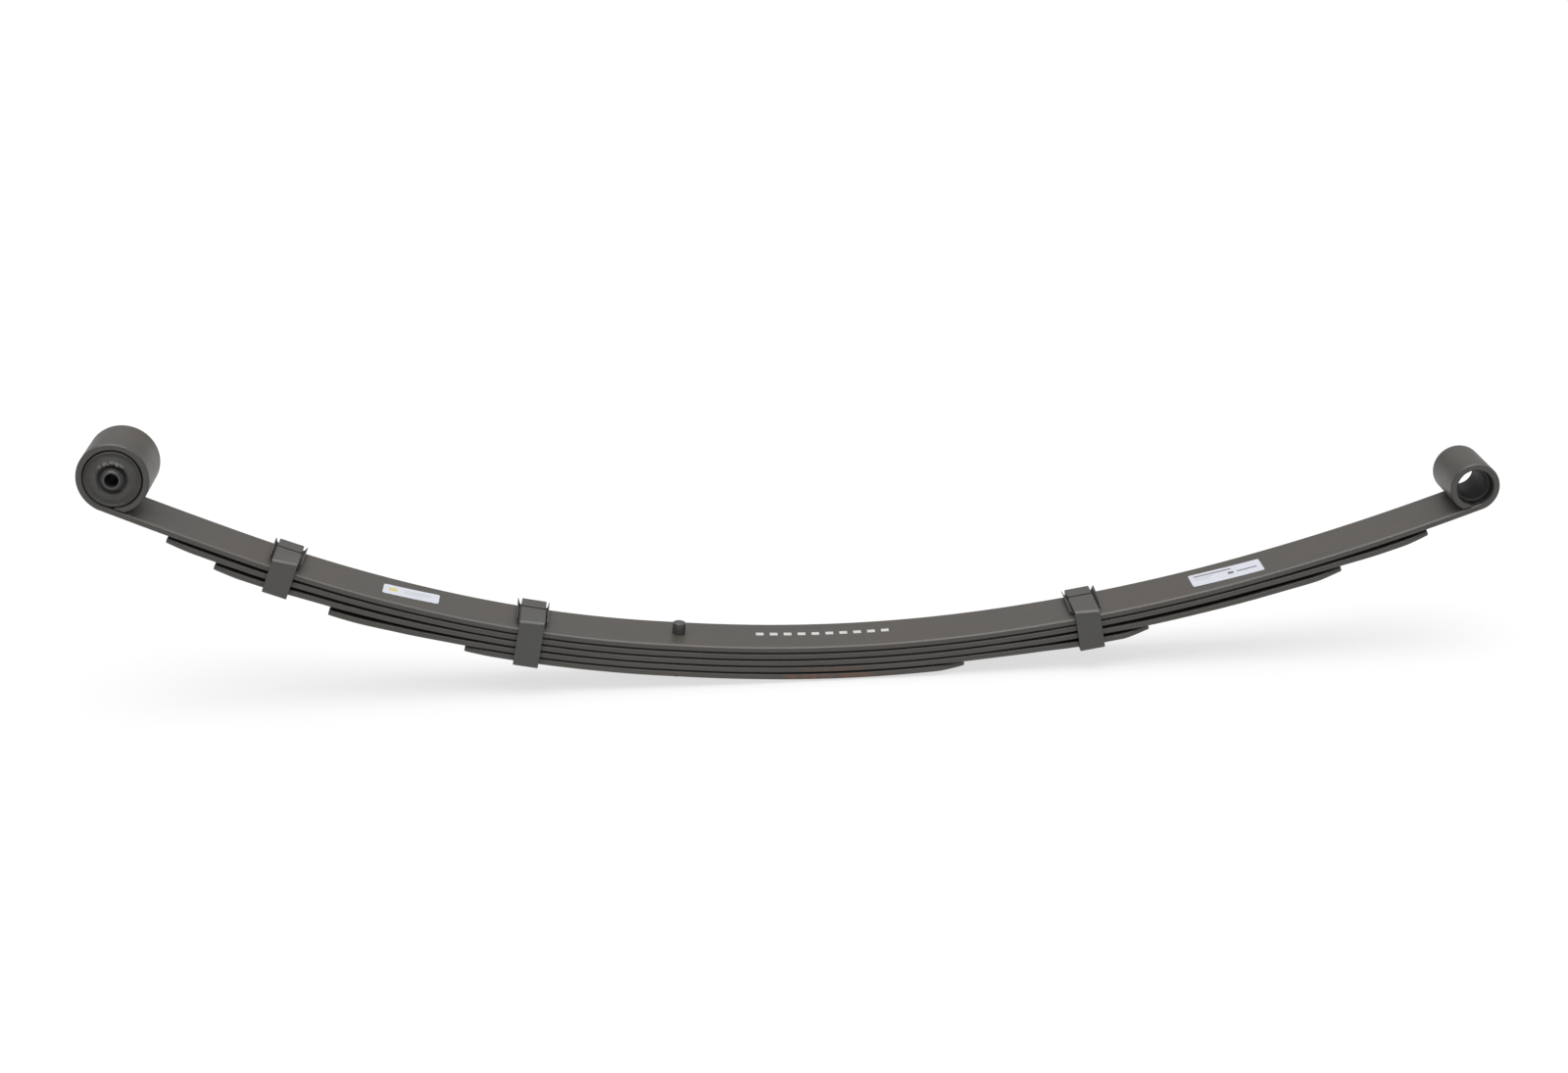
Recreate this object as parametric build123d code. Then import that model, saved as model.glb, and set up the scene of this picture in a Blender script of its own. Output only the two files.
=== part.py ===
from build123d import *
import math
import os

# Rear leaf spring of a rear-drive passenger car: five leaves on a centre bolt, a bushed front
# eye, an open rear eye, three clinch clips.  Millimetres.  Origin on the centre-bolt axis at the
# top face of the main leaf, +Z up along the bolt, +X towards the rear eye, leaf width along Y.

# ---- leaves ----
WIDTH = 63.5
THICK = 6.65
EDGE_ROUND = 1.2
SEAT_HALF = 12.0
FRONT_ARCS = ((218.0, 1211.0), (190.0, 1476.0), (139.0, 4774.0))
REAR_ARCS = ((288.0, 1428.0), (260.0, 1788.0), (227.0, 2302.0))
FRONT_TIPS = (559.0, 493.5, 444.0, 331.0, 200.5)
REAR_TIPS = (787.0, 732.0, 644.0, 453.0, 273.5)
# leaf ends are trimmed in plan by these amounts per side, over the last TIP_LENGTH
TIP_LENGTH = 26.0
FRONT_INSETS = (0.0, 4.5, 4.5, 2.5, 3.5)
REAR_INSETS = (0.0, 5.0, 6.5, 8.0, 8.0)
LEAF_NAMES = ("main_leaf", "second_leaf", "third_leaf", "fourth_leaf", "fifth_leaf")

# free gap under each leaf, as (distance from the bolt, gap) down to the next leaf's tip
FRONT_GAPS = (
    ((SEAT_HALF, 0.1), (227, 0.1), (336, 0.6), (414, 1.8), (493.5, 1.9)),
    ((SEAT_HALF, 0.1), (177, 0.15), (286, 1.3), (345, 1.55), (404, 2.05), (444, 2.5)),
    ((SEAT_HALF, 0.1), (60, 0.1), (168, 0.5), (212, 1.0), (264, 1.7), (303, 2.6), (331, 2.8)),
    ((SEAT_HALF, 0.1), (147, 0.15), (200.5, 0.4)),
)
REAR_GAPS = (
    ((SEAT_HALF, 0.1), (553, 0.15), (632, 1.1), (681, 2.2), (706, 2.1), (732, 1.6)),
    ((SEAT_HALF, 0.1), (296, 0.3), (375, 1.2), (464, 2.5), (553, 2.7), (600, 2.1), (644, 1.3)),
    ((SEAT_HALF, 0.1), (276, 0.15), (341, 0.7), (394, 2.3), (424, 2.0), (453, 0.3)),
    ((SEAT_HALF, 0.1), (60, 0.15), (118, 0.45), (172, 0.6), (226, 0.5), (273.5, 0.4)),
)

# ---- flex links: every leaf is cut where its three-link equivalent bends ----
FRONT_CUT = 120.0
REAR_CUT = 173.0
CUT_GAP = 0.2
FRONT_TRAVEL = 15.0
REAR_TRAVEL = 11.0

# ---- eyes, measured inside the curl ----
FRONT_EYE_R = 27.5
REAR_EYE_R = 17.25
CURL_GAP = 0.5
TONGUE = 1.6

# ---- centre bolt and nut ----
BOLT_R = 4.76
BOLT_HEAD_R = 6.35
BOLT_HEAD_H = 11.4
BOLT_HOLE_R = 5.3
NUT_FLATS = 14.3
NUT_H = 8.3
THREAD_OUT = 2.2

# ---- front eye bushing ----
SHELL_WALL = 1.6
SHELL_LENGTH = 64.5
SLEEVE_R = 9.5
SLEEVE_BORE_R = 6.5
SLEEVE_LENGTH = 71.0
RUBBER_LENGTH = 64.0
RUNNING = 0.05

# ---- liner pressed into the rear eye, set back from both faces ----
EYE_LINER_R = 17.15
EYE_LINER_BORE_R = 14.3
EYE_LINER_NEAR = 23.0
EYE_LINER_FAR = 27.6

# ---- clips: (name, side, distance from bolt, lowest leaf wrapped, liner clearance,
#      far arm above the liner, further rise of the near arm at its bend) ----
# The main leaf rises this much inside the clip, at most, as it slides on the leaves below.
CLIPS = (
    ("front_clip", -1, 383.4, 3, 0.95, 1.0, 5.2),
    ("middle_clip", -1, 142.4, 5, 0.55, 2.8, 3.3),
    ("rear_clip", 1, 395.8, 4, 0.8, 1.5, 1.6),
)
CLIP_BAND = 24.0
CLIP_THICK = 3.0
CLIP_SIDE_GAP = 0.4
CLIP_BEND = 4.2
ARM_GAP_Y = 3.2
ARM_SPLIT = 0.69
LINER_THICK = 0.8
LINER_UP = 8.5
LINER_REACH = 15.5
LINER_NEAR = 20.0
LINER_FAR = 31.25
RIVET_R = 4.0

# ---- labels: (name, side, near and far distance from bolt, low and high y) ----
LABELS = (
    ("small_label", -1, 233.5, 288.0, -11.0, 13.0),
    ("large_label", 1, 503.5, 574.0, -17.0, 13.5),
)
LABEL_THICK = 0.15


def main_point(side, s):
    """Point and slope angle of the main leaf's top face at distance s from the bolt."""
    x, z, tilt = min(s, SEAT_HALF), 0.0, 0.0
    left = s - SEAT_HALF
    for length, radius in FRONT_ARCS if side < 0 else REAR_ARCS:
        if left <= 0:
            break
        step = min(left, length) / radius
        x += radius * (math.sin(tilt + step) - math.sin(tilt))
        z += radius * (math.cos(tilt) - math.cos(tilt + step))
        tilt += step
        left -= length
    return x, z, tilt


def depth_point(side, s, depth):
    """Point at a depth below the main leaf's top face, square to it, as (x, z)."""
    x, z, tilt = main_point(side, s)
    return side * (x + depth * math.sin(tilt)), z - depth * math.cos(tilt)


def gap_at(knots, s):
    """Smooth value between the knots of one gap table."""
    for (s0, g0), (s1, g1) in zip(knots, knots[1:]):
        if s <= s1:
            t = max(0.0, (s - s0) / (s1 - s0))
            return g0 + (g1 - g0) * t * t * (3 - 2 * t)
    return knots[-1][1]


def leaf_depth(side, leaf, s):
    """Depth of the top face of a leaf (1 is the main leaf) below the main leaf's top face."""
    gaps = FRONT_GAPS if side < 0 else REAR_GAPS
    return (leaf - 1) * THICK + sum(gap_at(knots, s) for knots in gaps[:leaf - 1])


def vec(point):
    return Vector(point[0], 0, point[1])


def arc_breaks(side, s0, s1):
    """Distances between s0 and s1 at which the main leaf's curvature changes."""
    breaks = [SEAT_HALF]
    for length, _ in FRONT_ARCS if side < 0 else REAR_ARCS:
        breaks.append(breaks[-1] + length)
    return [s0] + [b for b in breaks if s0 + 1 < b < s1 - 1] + [s1]


def face_edges(side, leaf, s0, s1, below):
    """Edges of a leaf's top (below=0) or bottom (below=THICK) line from s0 to s1."""
    if leaf > 1:
        def at(s):
            return vec(depth_point(side, s, leaf_depth(side, leaf, s) + below))

        seat = [Edge.make_line(at(0), at(SEAT_HALF))] if s0 == 0 else []
        s0 = max(s0, SEAT_HALF)
        count = max(4, round((s1 - s0) / 18))
        return seat + [Edge.make_spline([at(s0 + (s1 - s0) * i / count) for i in range(count + 1)])]
    edges = []
    stations = arc_breaks(side, s0, s1)
    for a, b in zip(stations, stations[1:]):
        ends = [vec(depth_point(side, s, below)) for s in (a, (a + b) / 2, b)]
        if b <= SEAT_HALF + 1e-6:
            edges.append(Edge.make_line(ends[0], ends[2]))
        else:
            edges.append(Edge.make_three_point_arc(*ends))
    return edges


def eye_frame(side):
    """Eye centre (x, z), the leaf's slope there and the eye's inner radius."""
    tip, radius = (FRONT_TIPS[0], FRONT_EYE_R) if side < 0 else (REAR_TIPS[0], REAR_EYE_R)
    x, z, tilt = main_point(side, tip)
    return side * (x - radius * math.sin(tilt)), z + radius * math.cos(tilt), tilt, radius


def eye_edges(side):
    """Outline of the upturned eye from the leaf's bottom line round to its top line."""
    cx, cz, tilt, radius = eye_frame(side)

    def at(r, turn):
        """Point at radius r after curling by turn from the leaf's contact line."""
        a = tilt + turn
        return Vector(cx + side * r * math.sin(a), 0, cz - r * math.cos(a))

    outer = radius + THICK
    outer_end = 2 * math.pi - math.acos((radius - CURL_GAP) / outer)
    inner_end = 2 * math.pi - math.acos(1 - (CURL_GAP + TONGUE) / radius)
    inner_run = radius * math.sin(2 * math.pi - inner_end)
    along = Vector(-side * math.cos(tilt), 0, -math.sin(tilt))
    up = Vector(-side * math.sin(tilt), 0, math.cos(tilt))
    contact = at(radius, 0)
    toe = contact + along * inner_run + up * CURL_GAP
    return [
        Edge.make_three_point_arc(at(outer, 0), at(outer, outer_end / 2), at(outer, outer_end)),
        Edge.make_line(at(outer, outer_end), toe),
        Edge.make_line(toe, at(radius, inner_end)),
        Edge.make_three_point_arc(at(radius, inner_end), at(radius, inner_end / 2), at(radius, 0)),
    ]


def extrude_y(edges, low, high):
    """Solid between two y values on a closed outline lying in the XZ plane."""
    face = Face(Wire(edges))
    solid = extrude(face, amount=high - low, dir=(0, 1, 0))
    return Pos(0, low, 0) * solid


def round_long_edges(solid):
    """Round the mill edges that run along the leaf."""
    edges = [e for e in solid.edges() if abs(abs(e.center().Y) - WIDTH / 2) < 0.01]
    edges = [e for e in edges if e.length > 15]
    try:
        return fillet(edges, EDGE_ROUND)
    except ValueError:
        return solid


def tip_trim(side, leaf, tip):
    """Two wedges that trim a leaf tip's corners in plan."""
    inset = (FRONT_INSETS if side < 0 else REAR_INSETS)[leaf - 1]
    x, z, tilt = main_point(side, tip)
    plane = Plane(origin=(side * x, 0, z), x_dir=(side * math.cos(tilt), 0, math.sin(tilt)),
                  z_dir=(-side * math.sin(tilt), 0, math.cos(tilt)))
    wedges = []
    for edge in (-1, 1):
        half = WIDTH / 2
        outline = Polyline(
            (-TIP_LENGTH, edge * (half + 0.01)), (-0.45 * TIP_LENGTH, edge * (half - 0.3 * inset)),
            (0, edge * (half - inset)), (5, edge * (half - inset)),
            (5, edge * (half + 5)), (-TIP_LENGTH, edge * (half + 5)), close=True)
        wedges.append(plane * extrude(make_face(outline), amount=60, both=True))
    return wedges


def leaf_arm(side, leaf):
    """Outer part of one leaf, from its cut to its tip or eye."""
    start = FRONT_CUT if side < 0 else REAR_CUT
    tip = (FRONT_TIPS if side < 0 else REAR_TIPS)[leaf - 1]
    s0 = start + hinge_shift(side, leaf) + CUT_GAP / 2
    top = face_edges(side, leaf, s0, tip, 0)
    bottom = face_edges(side, leaf, s0, tip, THICK)
    root = Edge.make_line(top[0] @ 0, bottom[0] @ 0)
    end = eye_edges(side) if leaf == 1 else [Edge.make_line(bottom[-1] @ 1, top[-1] @ 1)]
    arm = round_long_edges(extrude_y([root] + bottom + end + top[::-1], -WIDTH / 2, WIDTH / 2))
    if leaf > 1:
        for wedge in tip_trim(side, leaf, tip):
            arm -= wedge
    return arm


def leaf_centre(leaf):
    """Middle part of one leaf between its two cuts, with the centre-bolt hole."""
    lines = {}
    for side, cut in ((-1, FRONT_CUT), (1, REAR_CUT)):
        s1 = cut + hinge_shift(side, leaf) - CUT_GAP / 2
        for below in (0, THICK):
            lines[side, below] = face_edges(side, leaf, 0, s1, below)
    edges = []
    for below in (0, THICK):
        edges += lines[-1, below] + lines[1, below]
    for side in (-1, 1):
        edges.append(Edge.make_line(lines[side, 0][-1] @ 1, lines[side, THICK][-1] @ 1))
    centre = round_long_edges(extrude_y(edges, -WIDTH / 2, WIDTH / 2))
    return centre - Cylinder(BOLT_HOLE_R, 120)


def hinge_shift(side, leaf):
    """Each upper leaf bends a little further out, so the leaves keep their spacing as they flex."""
    travel = FRONT_TRAVEL if side < 0 else REAR_TRAVEL
    return (5 - leaf) * THICK * math.tan(math.radians(travel / 2))


def centre_bolt(stack):
    """Cylindrical head on the main leaf, shank through the pack, threaded end below the nut."""
    shank = stack + NUT_H + THREAD_OUT
    head = Pos(0, 0, BOLT_HEAD_H / 2) * Cylinder(BOLT_HEAD_R, BOLT_HEAD_H)
    head = chamfer(head.edges().filter_by(GeomType.CIRCLE).sort_by(Axis.Z)[-1], 0.6)
    body = Pos(0, 0, -shank / 2) * Cylinder(BOLT_R, shank)
    body = chamfer(body.edges().filter_by(GeomType.CIRCLE).sort_by(Axis.Z)[0], 0.8)
    return head + body


def centre_nut(stack):
    """Hexagon nut under the lowest leaf, corners chamfered."""
    nut = extrude(RegularPolygon(NUT_FLATS / 2, 6, major_radius=False), amount=NUT_H)
    cone = Cone(NUT_FLATS / 2 + 0.4 + NUT_H * 1.7, NUT_FLATS / 2 + 0.4, NUT_H,
                align=(Align.CENTER, Align.CENTER, Align.MIN))
    nut = nut & cone & (Pos(0, 0, NUT_H) * Rot(180, 0, 0) * cone)
    nut -= Cylinder(BOLT_R + RUNNING, 60)
    return Pos(0, 0, -stack - NUT_H) * nut


def ring(outer, inner, length):
    return Cylinder(outer, length) - Cylinder(inner, length + 2)


def bushing():
    """Metal shell, bonded rubber and inner sleeve of the front eye, all about the eye's axis."""
    cx, cz, _, _ = eye_frame(-1)
    place = Pos(cx, 0, cz) * Rot(90, 0, 0)
    shell_r = FRONT_EYE_R - 0.1
    shell_in = shell_r - SHELL_WALL
    shell = fillet(ring(shell_r, shell_in, SHELL_LENGTH).edges(), 0.5)
    half = RUBBER_LENGTH / 2
    bore = SLEEVE_R + RUNNING
    profile = Polyline(
        (bore, 0), (bore, half - 3.5), (11.9, half - 3.4), (13.4, half - 1.4), (15.2, half + 0.8),
        (17.2, half + 1.1), (20.0, half - 0.2), (22.8, half - 1.8),
        (shell_in - 0.1, half - 2.0), (shell_in - 0.1, 0), close=True)
    rubber_half = revolve(make_face(Plane.XZ * profile), Axis.Z)
    rubber = rubber_half + mirror(rubber_half, Plane.XY)
    sleeve = chamfer(ring(SLEEVE_R, SLEEVE_BORE_R, SLEEVE_LENGTH).edges(), 0.5)
    return place * shell, place * rubber, place * sleeve


def rear_eye_liner():
    """Plain tube pressed into the rear eye, which brings its bore down to the shackle bushings."""
    cx, cz, _, _ = eye_frame(1)
    tube = chamfer(ring(EYE_LINER_R, EYE_LINER_BORE_R, EYE_LINER_NEAR + EYE_LINER_FAR).edges(), 0.4)
    return Pos(cx, (EYE_LINER_FAR - EYE_LINER_NEAR) / 2, cz) * Rot(90, 0, 0) * tube


def local_plane(side, s, depth):
    """Plane on a leaf face: x outwards along the leaf, z square to it."""
    tilt = main_point(side, s)[2]
    x, z = depth_point(side, s, depth)
    return Plane(origin=(x, 0, z), x_dir=(side * math.cos(tilt), 0, math.sin(tilt)),
                 z_dir=(-side * math.sin(tilt), 0, math.cos(tilt)))


def clip_block(half_y, low, arm_top, near_top, seam_y, length):
    """Solid across the pack, its top level under the far arm and rising to the near bend."""
    section = Polyline((-half_y, low), (half_y, low), (half_y, arm_top), (seam_y, arm_top),
                       (-half_y, near_top), close=True)
    return extrude(make_face(Plane.YZ * section), length / 2, both=True)


def round_bends(block, half_y, radius):
    """Round the four bends of a clip block, which lie at its two sides."""
    bends = [e for e in block.edges().filter_by(Axis.X) if abs(e.center().Y) > half_y - 0.01]
    return fillet(bends, radius)


def clip_parts(side, s, lowest, lift, arm_rise, near_rise):
    """Clinch clip, its sheet liner and its rivet for one clip position."""
    reach = (s - CLIP_BAND / 2, s, s + CLIP_BAND / 2)
    depth = max(leaf_depth(side, lowest, station) for station in reach) + THICK
    plane = local_plane(side, s, 0)
    inner_y = WIDTH / 2 + LINER_THICK + CLIP_SIDE_GAP
    outer_y = inner_y + CLIP_THICK
    floor = -depth - 0.15
    roof = lift + LINER_THICK + arm_rise
    seam_y = -WIDTH / 2 + ARM_SPLIT * WIDTH
    block = clip_block(outer_y, floor - CLIP_THICK, roof + CLIP_THICK, roof + near_rise + CLIP_THICK,
                       seam_y, CLIP_BAND)
    block = round_bends(block, outer_y, CLIP_BEND)
    room = clip_block(inner_y, floor, roof, roof + near_rise, seam_y, CLIP_BAND + 2)
    room = round_bends(room, inner_y, CLIP_BEND - CLIP_THICK)
    slot = Pos(0, seam_y + ARM_GAP_Y / 2, roof + CLIP_THICK / 2 + 0.01) * Box(
        CLIP_BAND + 2, ARM_GAP_Y, CLIP_THICK + 0.04)
    rivet_hole = Pos(0, 0, floor - CLIP_THICK / 2) * Cylinder(RIVET_R + 0.1, CLIP_THICK + 2)
    clip = block - room - slot - rivet_hole

    pad_y = (LINER_FAR - LINER_NEAR) / 2
    pad_width = LINER_FAR + LINER_NEAR
    pad = Pos(0, pad_y, lift + LINER_THICK / 2) * Box(2 * LINER_REACH, pad_width, LINER_THICK)
    for end in (-1, 1):
        ear = Box(LINER_THICK, pad_width, LINER_UP)
        pad += Pos(end * (LINER_REACH - LINER_THICK / 2), pad_y, lift + LINER_UP / 2) * ear

    shank_low = floor - CLIP_THICK - 0.05
    rivet = Pos(0, 0, shank_low + CLIP_THICK / 2) * Cylinder(RIVET_R, CLIP_THICK)
    dome = Pos(0, 0, shank_low) * Sphere(RIVET_R + 2.5)
    dome = dome & (Pos(0, 0, shank_low - 1.5) * Box(20, 20, 3.0))
    rivet += dome
    return plane * clip, plane * pad, plane * rivet


def label(side, near, far, low, high):
    """Thin paper label lying on the main leaf's top face, corners rounded."""
    lift = 0.05
    points = [near + (far - near) * i / 4 for i in range(5)]
    lower = [vec(depth_point(side, s, -lift)) for s in points]
    upper = [vec(depth_point(side, s, -lift - LABEL_THICK)) for s in points]
    edges = [Edge.make_spline(lower), Edge.make_line(lower[-1], upper[-1]),
             Edge.make_spline(upper), Edge.make_line(upper[0], lower[0])]
    sheet = extrude_y(edges, low, high)
    corners = [e for e in sheet.edges() if e.length < 2 * LABEL_THICK]
    return fillet(corners, 2.5)


def build():
    """All pieces of the spring by node name."""
    parts = {}
    for leaf, name in enumerate(LEAF_NAMES, start=1):
        parts[name + "_centre"] = leaf_centre(leaf)
        parts[name + "_front"] = leaf_arm(-1, leaf)
        parts[name + "_rear"] = leaf_arm(1, leaf)
    stack = leaf_depth(1, 5, 0) + THICK
    parts["centre_bolt"] = centre_bolt(stack + 0.1)
    parts["centre_nut"] = centre_nut(stack + 0.1)
    shell, rubber, sleeve = bushing()
    parts["bushing_shell"] = shell
    parts["bushing_rubber"] = rubber
    parts["bushing_sleeve"] = sleeve
    parts["rear_eye_liner"] = rear_eye_liner()
    for name, *place in CLIPS:
        clip, liner, rivet = clip_parts(*place)
        parts[name] = clip
        parts[name + "_liner"] = liner
        parts[name + "_rivet"] = rivet
    for name, side, near, far, low, high in LABELS:
        parts[name] = label(side, near, far, low, high)
    return parts


os.makedirs("parts", exist_ok=True)
for node, shape in build().items():
    export_step(shape, f"parts/{node}.step")
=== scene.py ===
import math

import bmesh
import bpy
from mathutils import Matrix, Vector


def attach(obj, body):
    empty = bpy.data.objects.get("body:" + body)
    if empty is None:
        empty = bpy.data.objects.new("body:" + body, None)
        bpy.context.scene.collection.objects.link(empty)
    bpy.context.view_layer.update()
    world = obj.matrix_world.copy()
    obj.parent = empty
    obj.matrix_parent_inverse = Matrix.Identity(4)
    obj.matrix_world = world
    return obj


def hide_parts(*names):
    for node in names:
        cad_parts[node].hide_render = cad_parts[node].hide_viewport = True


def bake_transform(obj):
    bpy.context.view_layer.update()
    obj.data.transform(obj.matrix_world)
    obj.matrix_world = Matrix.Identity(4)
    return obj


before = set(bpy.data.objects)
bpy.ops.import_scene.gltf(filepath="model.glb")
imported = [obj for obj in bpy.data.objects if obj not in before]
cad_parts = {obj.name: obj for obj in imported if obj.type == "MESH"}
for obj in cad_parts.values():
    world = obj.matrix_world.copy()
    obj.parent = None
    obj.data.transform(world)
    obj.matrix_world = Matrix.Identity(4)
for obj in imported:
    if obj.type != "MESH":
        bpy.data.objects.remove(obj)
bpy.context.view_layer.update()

MM = 0.001

# ---------------------------------------------------------------- driving sizes, millimetres
WIDTH = 63.5
THICK = 6.65
SEAT = 12.0
ARCS = {
    -1: ((218.0, 1211.0), (190.0, 1476.0), (139.0, 4774.0)),
    1: ((288.0, 1428.0), (260.0, 1788.0), (227.0, 2302.0)),
}
TIPS = {
    -1: (559.0, 493.5, 444.0, 331.0, 200.5),
    1: (787.0, 732.0, 644.0, 453.0, 273.5),
}
INSETS = {
    -1: (0.0, 4.5, 4.5, 2.5, 3.5),
    1: (0.0, 5.0, 6.5, 8.0, 8.0),
}
GAPS = {
    -1: (
        ((SEAT, 0.1), (227, 0.1), (336, 0.6), (414, 1.8), (493.5, 1.9)),
        ((SEAT, 0.1), (177, 0.15), (286, 1.3), (345, 1.55), (404, 2.05), (444, 2.5)),
        ((SEAT, 0.1), (60, 0.1), (168, 0.5), (212, 1.0), (264, 1.7), (303, 2.6), (331, 2.8)),
        ((SEAT, 0.1), (147, 0.15), (200.5, 0.4)),
    ),
    1: (
        ((SEAT, 0.1), (553, 0.15), (632, 1.1), (681, 2.2), (706, 2.1), (732, 1.6)),
        ((SEAT, 0.1), (296, 0.3), (375, 1.2), (464, 2.5), (553, 2.7), (600, 2.1), (644, 1.3)),
        ((SEAT, 0.1), (276, 0.15), (341, 0.7), (394, 2.3), (424, 2.0), (453, 0.3)),
        ((SEAT, 0.1), (60, 0.15), (118, 0.45), (172, 0.6), (226, 0.5), (273.5, 0.4)),
    ),
}
EYE_R = {-1: 27.5, 1: 17.25}
EDGE_R = 2.4            # rolled corner of a leaf's section
EDGE_BULGE = 0.4
BARE_SHADE_DEPTH = 1.15       # how far down a leaf's edge the paint is missing beside its neighbour; the dark colour there is also painted shade in the gap
CURL_GAP = 0.5          # between an eye's scarfed end and the leaf under it
TONGUE = 1.6
TIP_LENGTH = 26.0
LEAVES = ("main", "second", "third", "fourth", "fifth")
END = {-1: "front", 1: "rear"}
BEND = {-1: (20.0, 220.0), 1: (50.0, 296.0)}

SHELL_WALL = 1.6
SHELL_LENGTH = 64.5
RUBBER_END = 32.0       # from the eye's middle to the rubber's end face
SLEEVE_R = 9.5
SLEEVE_BORE_R = 6.5
SLEEVE_LENGTH = 71.0
TEAR_AT = 96.0          # degrees round the bushing, where the rubber's ring is torn and its painted highlight is centred
TEAR_REACH = 62.0
EYE_TUBE_R = 17.15
EYE_TUBE_BORE_R = 14.3
EYE_TUBE_NEAR = 23.0
EYE_TUBE_FAR = 27.6


# ---------------------------------------------------------------- leaf geometry
def main_point(side, s):
    """Main leaf's top face at distance s from the bolt: (x, z, slope)."""
    x, z, tilt = min(s, SEAT), 0.0, 0.0
    left = s - SEAT
    for length, radius in ARCS[side]:
        if left <= 0:
            break
        step = min(left, length) / radius
        x += radius * (math.sin(tilt + step) - math.sin(tilt))
        z += radius * (math.cos(tilt) - math.cos(tilt + step))
        tilt += step
        left -= length
    return x, z, tilt


def depth_point(side, s, depth):
    x, z, tilt = main_point(side, s)
    return side * (x + depth * math.sin(tilt)), z - depth * math.cos(tilt)


def gap_at(knots, s):
    for (s0, g0), (s1, g1) in zip(knots, knots[1:]):
        if s <= s1:
            t = max(0.0, (s - s0) / (s1 - s0))
            return g0 + (g1 - g0) * t * t * (3 - 2 * t)
    return knots[-1][1]


def leaf_depth(side, leaf, s):
    return (leaf - 1) * THICK + sum(gap_at(k, s) for k in GAPS[side][:leaf - 1])


def eye_frame(side):
    x, z, tilt = main_point(side, TIPS[side][0])
    radius = EYE_R[side]
    return side * (x - radius * math.sin(tilt)), z + radius * math.cos(tilt), tilt, radius


def local_matrix(side, s, depth=0.0):
    """Frame on a leaf face: x outwards along the leaf, y across, z square to the face."""
    tilt = main_point(side, s)[2]
    x, z = depth_point(side, s, depth)
    out = Vector((side * math.cos(tilt), 0, math.sin(tilt)))
    up = Vector((-side * math.sin(tilt), 0, math.cos(tilt)))
    across = up.cross(out)
    m = Matrix((out, across, up)).transposed().to_4x4()
    m.translation = Vector((x, 0, z))
    return m


# ---------------------------------------------------------------- mesh helpers
def add_mesh(name, verts, faces, material, sharp=32.0, place=None):
    """A mesh object from millimetre points, smooth except at its real corners.
    place gives each point's (distance along, distance across), kept as a UV map."""
    mesh = bpy.data.meshes.new(name)
    mesh.from_pydata([tuple(c * MM for c in v) for v in verts], [], faces)
    bm = bmesh.new()
    bm.from_mesh(mesh)
    bmesh.ops.recalc_face_normals(bm, faces=bm.faces)
    bm.to_mesh(mesh)
    bm.free()
    mesh.polygons.foreach_set("use_smooth", [True] * len(mesh.polygons))
    mesh.set_sharp_from_angle(angle=math.radians(sharp))
    if place is not None:
        keep_place(mesh, place)
    obj = bpy.data.objects.new(name, mesh)
    bpy.context.scene.collection.objects.link(obj)
    mesh.materials.append(material)
    return obj


def keep_place(mesh, place):
    layer = mesh.uv_layers.new(name="place")
    for loop in mesh.loops:
        layer.data[loop.index].uv = place[loop.vertex_index]


def belongs(obj, body, node):
    """obj rides on a body in place of a CAD node."""
    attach(obj, body)
    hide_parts(node)


def loft(rings, cap=True, closed=False):
    """Verts and faces of a tube through equal rings of points."""
    n = len(rings[0])
    verts = [p for ring in rings for p in ring]
    faces = []
    count = len(rings)
    for i in range(count if closed else count - 1):
        j = (i + 1) % count
        for k in range(n):
            m = (k + 1) % n
            faces.append((i * n + k, i * n + m, j * n + m, j * n + k))
    if cap and not closed:
        faces.append(tuple(range(n - 1, -1, -1)))
        faces.append(tuple((count - 1) * n + k for k in range(n)))
    return verts, faces


def rounded(half, low, high, radius, steps=5, pad=0.5, bulge=0.0):
    """Rounded rectangle as (across, height) points, with holding loops beside each corner.
    bulge pushes the two sides out at mid height, as on rolled bar."""
    radius = min(radius, (high - low) / 2 - 0.01, half - 0.01)
    middle, reach = (low + high) / 2, (high - low) / 2
    flat = min(pad, (reach - radius) * 0.45)
    points = []
    for sx, sz, start in ((1, 1, 0), (-1, 1, 90), (-1, -1, 180), (1, -1, 270)):
        ox = sx * (half - radius)
        oz = (high if sz > 0 else low) - sz * radius
        arc = []
        for i in range(steps + 1):
            a = math.radians(start + 90.0 * i / steps)
            arc.append((ox + radius * math.cos(a), oz + radius * math.sin(a)))
        beside = (arc[0][0], arc[0][1] - flat * sz)
        above = (arc[-1][0] - pad * sx, arc[-1][1])
        if start in (90, 270):
            beside = (arc[-1][0], arc[-1][1] - flat * sz)
            above = (arc[0][0] - pad * sx, arc[0][1])
            points += [above] + arc + [beside]
        else:
            points += [beside] + arc + [above]
    if not bulge:
        return points
    out = []
    for y, z in points:
        k = max(0.0, 1 - ((z - middle) / reach) ** 2)
        out.append((y - math.copysign(bulge * (1 - k), y) if abs(y) > half - radius - 0.01 else y, z))
    return out


def spread(a, b, step):
    count = max(1, round((b - a) / step))
    return [a + (b - a) * i / count for i in range(count + 1)]


# ---------------------------------------------------------------- materials
def nodes_of(material):
    material.use_nodes = True
    tree = material.node_tree
    bsdf = next(n for n in tree.nodes if n.type == "BSDF_PRINCIPLED")
    return tree, bsdf


def noise(tree, vector, scale, detail=4.0, rough=0.55):
    n = tree.nodes.new("ShaderNodeTexNoise")
    n.inputs["Scale"].default_value = scale
    n.inputs["Detail"].default_value = detail
    n.inputs["Roughness"].default_value = rough
    tree.links.new(vector, n.inputs["Vector"])
    return n.outputs["Fac"]


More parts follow.
